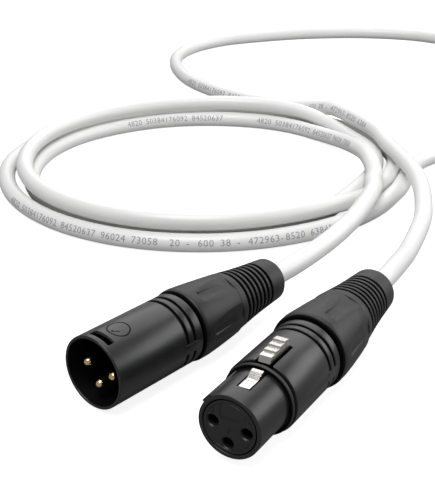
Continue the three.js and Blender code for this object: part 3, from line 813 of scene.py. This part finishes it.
def rear_of_shell(end, outer):
    """The two grooves, the shoulder and the threaded tail that both shells end in."""
    floor, neck = outer - GROOVE_DEPTH, outer - GROOVE_DEPTH - 0.4
    edge, neck_end = end.shoulder, end.shoulder + 0.9
    rows = []
    for distance in GROOVES_BEFORE_SHOULDER:
        start = edge - distance
        stop = start + GROOVE_WIDTH
        rows += [(start, outer), (start, floor), (stop, floor), (stop, outer)]
    tail = end.nut_start + TAIL_LENGTH
    rows += [(edge - 0.15, outer), (edge, outer - 0.15), (edge, neck), (neck_end, neck), (neck_end, TAIL_R),
             (tail, TAIL_R), (tail, TAIL_BORE)]
    return rows


def fit_rear(obj, end):
    """Brings a nut or boot, modelled from its own front line, to its connector's size and place."""
    obj.data.transform(Matrix.Diagonal((end.rear_length, end.rear_girth, end.rear_girth, 1.0)))
    return slide(obj, x=end.shoulder + REAR_GAP)


def groove_key(end, outer):
    """The block that bridges the two grooves on the right side."""
    start, stop = end.shoulder - 6.8, end.shoulder - 1.2
    key = block("key", start, stop, -outer - 0.02, -outer + 1.3, -1.4, 1.4, 0.3)
    return roll(key, KEY_ANGLE)


class MALE_SHELL_OT_add(bpy.types.Operator):
    """Add the plug's shell with its mouth, catch window, moulded disc and grooves"""
    bl_idname = "cable_coil.male_shell"
    bl_label = "Male Shell"

    def execute(self, context):
        mouth, cavity, seat, back = 8.75, 16.2, 8.3, 23.4
        profile = [(0.0, mouth), (0.0, SHELL_R), *rear_of_shell(MALE, SHELL_R),
                   (back, TAIL_BORE), (back, seat), (cavity, seat), (cavity, mouth)]
        shell = turned("male_shell_visual", profile, corner=0.22)
        weld(shell, groove_key(MALE, SHELL_R))
        window = block("window", 1.35, 3.55, -3.2, 3.2, SHELL_R - 3.2, SHELL_R + 1.0, 0.28)
        cut(shell, roll(window, WINDOW_TURN))
        cut(shell,
            self.disc_line(radius=2.8, along=7.7, around=1.5),
            self.tick_arm(length=2.1, along=6.3, around=1.9, turn=-36.0),
            self.tick_arm(length=0.9, along=5.75, around=1.3, turn=40.0))
        # the disc line and tick, the mouth and the grooves with the collar gap get black painted shade
        mark_sunk(shell, SHELL_R - 0.04, 4.6, 10.8)
        mark_sunk(shell, mouth + 0.1, 0.35, cavity + 0.1)
        mark_sunk(shell, SHELL_R - 0.2, MALE.shoulder - 6.2, MALE.nut_start + 7.0)
        put(shell, MALE, SHELLS_BODY, coat_material(), ["male_shell"])
        return {"FINISHED"}

    def disc_line(self, radius, along, around):
        """A thin round groove on top of the shell."""
        nothing_selected()
        bpy.ops.mesh.primitive_torus_add(
            major_radius=radius * MM, minor_radius=0.17 * MM, major_segments=64, minor_segments=8,
            location=(along * MM, 0, 0))
        bpy.ops.object.transform_apply(location=True, rotation=True, scale=True)
        return bend_onto(bpy.context.active_object, SHELL_R, around)

    def tick_arm(self, length, along, around, turn):
        """One arm of the small tick inside the round groove."""
        arm = block("tick", -length / 2, length / 2, -0.14, 0.14, -0.15, 0.3)
        arm.data.transform(Matrix.Rotation(math.radians(turn), 4, "Z"))
        return bend_onto(slide(arm, x=along), SHELL_R, around)


class MALE_CONTACTS_OT_add(bpy.types.Operator):
    """Add the plug's three gold pins and the disc that holds them"""
    bl_idname = "cable_coil.male_contacts"
    bl_label = "Male Contacts"

    def execute(self, context):
        face, back, radius = 16.5, 23.1, 8.0
        disc = turned("male_insert_visual", [(face, 0), (face, radius), (back, radius), (back, 0)],
                      corner=0.2)
        drill = [(face - 1, 0), (face - 1, 1.5), (back + 1, 1.5), (back + 1, 0)]
        cut(disc, *[at_contact(number, turned("hole", drill, 24)) for number in CONTACT_ANGLES])
        # the insert's front face gets black painted shade
        mark_sunk(disc, radius + 1, face - 1, face + 0.1)
        put(disc, MALE, SHELLS_BODY, insert_material(), ["male_insert"])
        tip, end = 1.6, 27.6
        outline = [(tip + 1.35 * (1 - math.cos(a)), 1.2 * math.sin(a))
                   for a in (k * math.pi / 16 for k in range(9))]
        outline += [(24.2, 1.2), (24.2, 1.35), (end, 1.35), (end, 0.8), (end - 3, 0.8), (end - 3, 0)]
        for number in CONTACT_ANGLES:
            pin = at_contact(number, turned(f"male_pin_{number}_visual", outline, CONTACT_STEPS))
            put(pin, MALE, SHELLS_BODY, pin_material(), [f"male_pin_{number}"])
        return {"FINISHED"}


class FEMALE_SHELL_OT_add(bpy.types.Operator):
    """Add the socket's shell: nose with its rib, body, latch slots and grooves"""
    bl_idname = "cable_coil.female_shell"
    bl_label = "Female Shell"

    def execute(self, context):
        bore, nose, body, step = 6.9, 7.94, 9.45, 14.6
        profile = [(0.0, bore), (0.0, nose), (step, nose), (step, body),
                   *rear_of_shell(FEMALE, body), (31.0, TAIL_BORE), (31.0, bore)]
        shell = turned("female_shell_visual", profile, corner=0.28)
        rib = block("rib", 0.5, 12.3, -nose - 0.45, -nose + 0.7, -1.55, 1.55, 0.22)
        weld(shell, groove_key(FEMALE, body), roll(rib, RIB_ANGLE))
        hook_slot = block("hook slot", 4.75, 13.4, LATCH_Y - 1.8, LATCH_Y + 1.65, 4.0, 12.0, 0.25)
        tab_slot = block("tab slot", 13.0, 24.6, LATCH_Y - 2.3, LATCH_Y + 2.3, 4.0, 12.0, 0.3)
        cut(shell, hook_slot, tab_slot)
        # the grooves with the collar gap, the latch slots and the bore get black painted shade
        mark_sunk(shell, body - 0.2, FEMALE.shoulder - 6.2, FEMALE.nut_start + 7.0)
        mark_sunk(shell, nose - 0.25, 3.0, 25.5)
        put(shell, FEMALE, SHELLS_BODY, coat_material(), ["female_shell"])

        seat = nose + 0.3
        ring = turned("female_bumper_ring_visual",
                      [(13.0, seat), (13.0, 8.95), (13.3, 9.12), (13.75, 9.12), (14.0, 8.95), (14.0, seat)],
                      corner=0.12)
        # the ring's front face gets black painted shade
        mark_sunk(ring, 8.9, 12.9, 13.2)
        put(ring, FEMALE, SHELLS_BODY, rubber_material(), ["female_bumper_ring"])
        return {"FINISHED"}


class FEMALE_FACE_OT_add(bpy.types.Operator):
    """Add the socket's contact insert with its three numbered holes and gold contacts"""
    bl_idname = "cable_coil.female_face"
    bl_label = "Female Face"

    def execute(self, context):
        face, back, radius = 0.1, 21.0, 6.6
        groove = face + 0.12
        profile = [(face, 0), (face, radius - 0.9), (groove, radius - 0.85), (groove, radius - 0.65),
                   (face, radius - 0.6), (face, radius), (back, radius), (back, 0)]
        # odd facet counts keep the edges of the insert and the holes off one another
        steps, hole_steps = context.scene.connector_settings.steps - 1, CONTACT_STEPS - 1
        insert = turned("female_insert_visual", profile, steps, corner=0.04)
        seat = [(1.6, 0), (1.6, 2.1), (back + 1, 2.1), (back + 1, 0)]
        hole = [(-1.0, 0), (-1.0, 1.65), (face + 0.05, 1.65), (face + 0.4, 1.4), (1.8, 1.4), (1.8, 0)]
        cut(insert, block("channel", 3.2, back + 1, -3.4, 2.6, 3.1, 8.0),
            *[at_contact(number, turned("seat", seat, CONTACT_STEPS)) for number in CONTACT_ANGLES])
        cut(insert, *[at_contact(number, turned("hole", hole, hole_steps)) for number in CONTACT_ANGLES])
        gather(insert, self.raised_marks(face))
        put(insert, FEMALE, SHELLS_BODY, insert_material(), ["female_insert"], smooth=30)
        front, drilled, end = 1.9, 14.0, 24.0
        outline = [(front, 1.3), (front, 1.8), (end, 1.8), (end, 1.1), (end - 3, 1.1), (end - 3, 0),
                   (drilled, 0), (drilled, 1.3)]
        for number in CONTACT_ANGLES:
            socket = at_contact(number, turned(f"female_socket_{number}_visual", outline, CONTACT_STEPS))
            put(socket, FEMALE, SHELLS_BODY, gold_material(), [f"female_socket_{number}"])
        return {"FINISHED"}

    def raised_marks(self, face):
        """The contact numbers and the angled line beside them, standing just proud of the face."""
        height = 0.11
        marks = [self.numeral(text, face - height, y, z, height * 2)
                 for text, y, z in (("1", -3.9, 2.75), ("2", 4.3, 2.6), ("3", 0.3, -1.7))]
        marks.append(block("line", face - height, face + height, -2.3, 2.5, 2.05, 2.2))
        marks.append(block("line", face - height, face + height, 2.35, 2.5, 2.2, 5.2))
        return marks

    def numeral(self, text, x, y, z, thickness):
        """A raised numeral that faces along local -X."""
        height = 1.25
        obj = face_outward(text_mesh(text, height * MM, 3, thickness * MM, "CENTER"), merge=1e-7)
        facing = Matrix(((0, 0, -1, 0), (-1, 0, 0, 0), (0, 1, 0, 0), (0, 0, 0, 1)))
        obj.data.transform(facing)
        return slide(obj, x=x + thickness / 2, y=y, z=z)


class LATCH_OT_add(bpy.types.Operator):
    """Add the release lever: hook on the nose, stepped thumb piece and pivot end"""
    bl_idname = "cable_coil.latch"
    bl_label = "Latch"

    def execute(self, context):
        under, bar, plate, width = 4.95, 6.1, 7.1, 3.05
        lever = block("latch_visual", 8.0, 28.5, LATCH_Y - width / 2, LATCH_Y + width / 2, under, bar)
        hook = [(5.4, 7.12), (5.4, 7.54), (9.3, 7.52), (11.2, 8.54), (12.2, 8.62), (12.2, 7.95),
                (11.3, 7.95), (9.4, 7.12)]
        skirt, front = 9.15, 14.55
        thumb = [(front, skirt), (front + 0.6, 10.7)]
        run, foot, climb, riser = 2.22, 10.64, 0.28, 0.5
        for k in range(1, 4):
            at, low = front + 0.25 + k * run, foot + (k - 1) * climb
            thumb += [(at, low), (at + 0.3, low + riser)]
        thumb += [(front + 9.05, foot + 3 * climb), (front + 9.45, skirt)]
        stem_near, stem_far, stem_foot = LATCH_Y - 0.4, LATCH_Y + 1.2, bar - 0.4
        weld(lever,
             outlined("hook", hook, width - 0.2, LATCH_Y + 0.1),
             block("hook stem", 8.5, 11.8, stem_near, stem_far, stem_foot, 7.6),
             outlined("thumb", thumb, width, LATCH_Y),
             block("thumb stem", front + 2.5, front + 8.0, stem_near, stem_far, stem_foot, skirt + 0.3))
        soften(lever, 0.07, angle=25)
        # the lever's faces below the plate and the thumb's skirt get black painted shade
        for face in lever.data.polygons:
            limit = plate if face.center.x < 13.0 * MM else skirt - 0.05
            if face.center.z < limit * MM:
                face.material_index = 1
        put(lever, FEMALE, "latch", nickel_material(), ["latch"], smooth=8)
        return {"FINISHED"}


class GLAND_NUTS_OT_add(bpy.types.Operator):
    """Add both gland nuts with their grip flats and finger pockets"""
    bl_idname = "cable_coil.gland_nuts"
    bl_label = "Gland Nuts"

    def execute(self, context):
        for prefix, end, first in (("male", MALE, 64.0), ("female", FEMALE, 68.0)):
            node = f"{prefix}_gland_nut"
            nut = fit_rear(self.nut(f"{node}_visual", first), end)
            put(nut, end, f"{prefix}_nut", nut_material(), [node], smooth=32)
        return {"FINISHED"}

    def nut(self, name, first):
        """A nut modelled from its front line, its first flat and pocket at that angle."""
        front, back = NUT_OUTLINE[0][0], NUT_REAR_EDGE[0]
        profile = [(front, NUT_BORE), *NUT_OUTLINE, NUT_REAR_EDGE, (back, NUT_REAR_BORE),
                   (NUT_SHOULDER, NUT_REAR_BORE), (NUT_SHOULDER, NUT_BORE)]
        nut = turned(name, profile, corner=0.3)
        front_height, rear_height, flat_front, flat_rear = 9.92, 8.5, 4.5, 17.1
        slope = math.atan2(front_height - rear_height, flat_rear - flat_front)
        middle = (flat_front + flat_rear) / 2
        height = (front_height + rear_height) / 2
        pocket_along, pocket_floor, pocket_tilt = 9.3, 9.14, slope * 0.5
        tools = []
        for k in range(NUT_FLATS):
            turn = first + k * 360 / NUT_FLATS - 90
            flat = block("flat", -8.4, 8.4, -4.2, 4.2, 0.0, 3.0)
            flat.data.transform(Matrix.Rotation(slope, 4, "Y"))
            slide(flat, x=middle, z=height)
            tools.append(roll(flat, turn))
            pocket = block("pocket", -5.5, 5.5, -1.35, 1.35, 0.0, 2.4, 0.55, 4)
            pocket.data.transform(Matrix.Rotation(pocket_tilt, 4, "Y"))
            slide(pocket, x=pocket_along, z=pocket_floor)
            tools.append(roll(pocket, turn))
        cut(nut, *tools)
        soften(nut, 0.16, angle=12)
        # the nut's front face gets black painted shade
        mark_sunk(nut, 9.9, front - 0.1, front + 0.3)
        return nut


class BOOTS_OT_add(bpy.types.Operator):
    """Add both rubber boots with their bending grooves"""
    bl_idname = "cable_coil.boots"
    bl_label = "Boots"

    def execute(self, context):
        grooves_start, grooves_end, bore_side = BOOT_START + 1.0, 35.0, 4.0
        for prefix, end in (("male", MALE), ("female", FEMALE)):
            boot = turned(f"{prefix}_boot_visual", self.profile(), corner=0.16)
            # the groove faces get black painted shade
            for face in boot.data.polygons:
                x, y, z = face.center / MM
                sunk = bore_side < math.hypot(y, z) < self.radius(x) - BOOT_GROOVE_DEPTH * 0.25
                if grooves_start < x < grooves_end and sunk:
                    face.material_index = 1
            put(fit_rear(boot, end), end, f"{prefix}_boot", rubber_material(),
                [f"{prefix}_boot"])
        return {"FINISHED"}

    def profile(self):
        """The boot's outline from its sleeve in the nut to its thin end."""
        bore, sleeve, sleeve_start, front = 3.4, 6.2, 13.4, BOOT_START
        rows = [(sleeve_start, bore), (sleeve_start, sleeve), (front, sleeve), (front, self.radius(front))]
        depth, top, floor, pitch, first = BOOT_GROOVE_DEPTH, 1.1, 0.9, 1.99, 19.75
        for k in range(BOOT_GROOVES):
            at = first + k * pitch
            inset = (top - floor) / 2
            rows += [(at, self.radius(at)), (at + inset, self.radius(at) - depth),
                     (at + top - inset, self.radius(at) - depth), (at + top, self.radius(at + top))]
        last = BOOT_KNOTS[-1][0]
        rows += [(last - 0.9, self.radius(last - 0.9)), (last - 0.3, self.radius(last) - 0.3),
                 (last, self.radius(last) - 0.9), (last, bore)]
        return rows

    def radius(self, along):
        """The boot's outer radius at a distance along it."""
        knots = BOOT_KNOTS
        for (x0, r0), (x1, r1) in zip(knots, knots[1:]):
            if along <= x1:
                return r0 + (r1 - r0) * (along - x0) / (x1 - x0)
        return knots[-1][1]


class INNER_PIECES_OT_finish(bpy.types.Operator):
    """Give the pieces inside the connectors their finishes"""
    bl_idname = "cable_coil.inner_pieces"
    bl_label = "Inner Pieces"

    def execute(self, context):
        finishes = {
            "latch_spring": plain_steel_material(),
            "male_chuck": insert_material(),
            "female_chuck": insert_material(),
        }
        for prefix in ("male", "female"):
            finishes[f"{prefix}_conductor_1"] = core_material("bare_copper_drain", (0.72, 0.37, 0.19), 1.0)
            finishes[f"{prefix}_conductor_2"] = core_material("red_core", (0.42, 0.03, 0.02))
            finishes[f"{prefix}_conductor_3"] = core_material("blue_core", (0.03, 0.08, 0.32))
        for node, material in finishes.items():
            mesh = bpy.data.objects[node].data
            mesh.materials.clear()
            mesh.materials.append(material)
        return {"FINISHED"}


class PRINT_OT_add(bpy.types.Operator):
    """Add the grey numbers printed along the cable"""
    bl_idname = "cable_coil.print"
    bl_label = "Cable Print"

    def execute(self, context):
        settings = context.scene.cable_settings
        path = cable_route()
        glyphs = {mark: self.glyph(mark, settings.digit_height / MM) for mark in "0123456789-"}
        corners, faces = [], []
        for stretch in PRINTED:
            self.run(path, *stretch, glyphs, corners, faces)
        ink = mesh_piece("cable_print", corners, faces, ink_material())
        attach(ink, SHELLS_BODY)
        return {"FINISHED"}

    def glyph(self, digit, height):
        """One numeral as flat corners and faces, cut into strips so that it can bend."""
        strips = 7
        flat = text_mesh(digit, height, 2)
        bpy.ops.object.mode_set(mode="EDIT")
        for k in range(1, strips):
            bpy.ops.mesh.select_all(action="SELECT")
            bpy.ops.mesh.bisect(plane_co=(0, height * k / strips, 0), plane_no=(0, 1, 0))
        bpy.ops.object.mode_set(mode="OBJECT")
        shape = ([(v.co.x, v.co.y - height / 2) for v in flat.data.vertices],
                 [tuple(face.vertices) for face in flat.data.polygons])
        bpy.data.objects.remove(flat)
        return shape

    def run(self, path, start, end, angle, backward, glyphs, corners, faces):
        """Prints the characters one after another between two distances along the cable."""
        for place in range(int((end - start) / PRINT_ADVANCE)):
            digit = PRINT_TEXT[place % len(PRINT_TEXT)]
            if digit == " ":
                continue
            points, polygons = glyphs[digit]
            base = len(corners)
            for x, height in points:
                along = start + place * PRINT_ADVANCE + x
                if backward:
                    along, height = start + end - along, -height
                corners.append(on_jacket(path, along, angle, height))
            faces += [tuple(base + k for k in polygon) for polygon in polygons]


class CABLE_COIL_PT_pieces(bpy.types.Panel):
    """The pieces of the cable coil, in the order in which they are added"""
    bl_idname = "CABLE_COIL_PT_pieces"
    bl_label = "Cable Coil"
    bl_space_type = "VIEW_3D"
    bl_region_type = "UI"
    bl_category = "Cable Coil"

    def draw(self, context):
        layout = self.layout
        scene = context.scene
        for settings in (scene.cable_settings, scene.connector_settings, scene.stage_settings):
            box = layout.box()
            for name in settings.bl_rna.properties.keys():
                if name not in ("rna_type", "name"):
                    box.prop(settings, name)
        for step in STEPS:
            layout.operator(f"cable_coil.{step}")


CLASSES = [
    CableSettings, ConnectorSettings, StageSettings, STAGE_OT_set, CABLE_OT_add, PRINT_OT_add,
    MALE_SHELL_OT_add, MALE_CONTACTS_OT_add, FEMALE_SHELL_OT_add, FEMALE_FACE_OT_add, LATCH_OT_add,
    GLAND_NUTS_OT_add, BOOTS_OT_add, INNER_PIECES_OT_finish, CABLE_COIL_PT_pieces,
]
STEPS = ["stage", "cable", "print", "male_shell", "male_contacts", "female_shell", "female_face", "latch",
         "gland_nuts", "boots", "inner_pieces"]


def register():
    for cls in CLASSES:
        bpy.utils.register_class(cls)
    bpy.types.Scene.cable_settings = bpy.props.PointerProperty(type=CableSettings)
    bpy.types.Scene.connector_settings = bpy.props.PointerProperty(type=ConnectorSettings)
    bpy.types.Scene.stage_settings = bpy.props.PointerProperty(type=StageSettings)


def unregister():
    del bpy.types.Scene.stage_settings
    del bpy.types.Scene.connector_settings
    del bpy.types.Scene.cable_settings
    for cls in reversed(CLASSES):
        bpy.utils.unregister_class(cls)


def main():
    register()
    for step in STEPS:
        getattr(bpy.ops.cable_coil, step)()


if __name__ == "__main__":
    main()
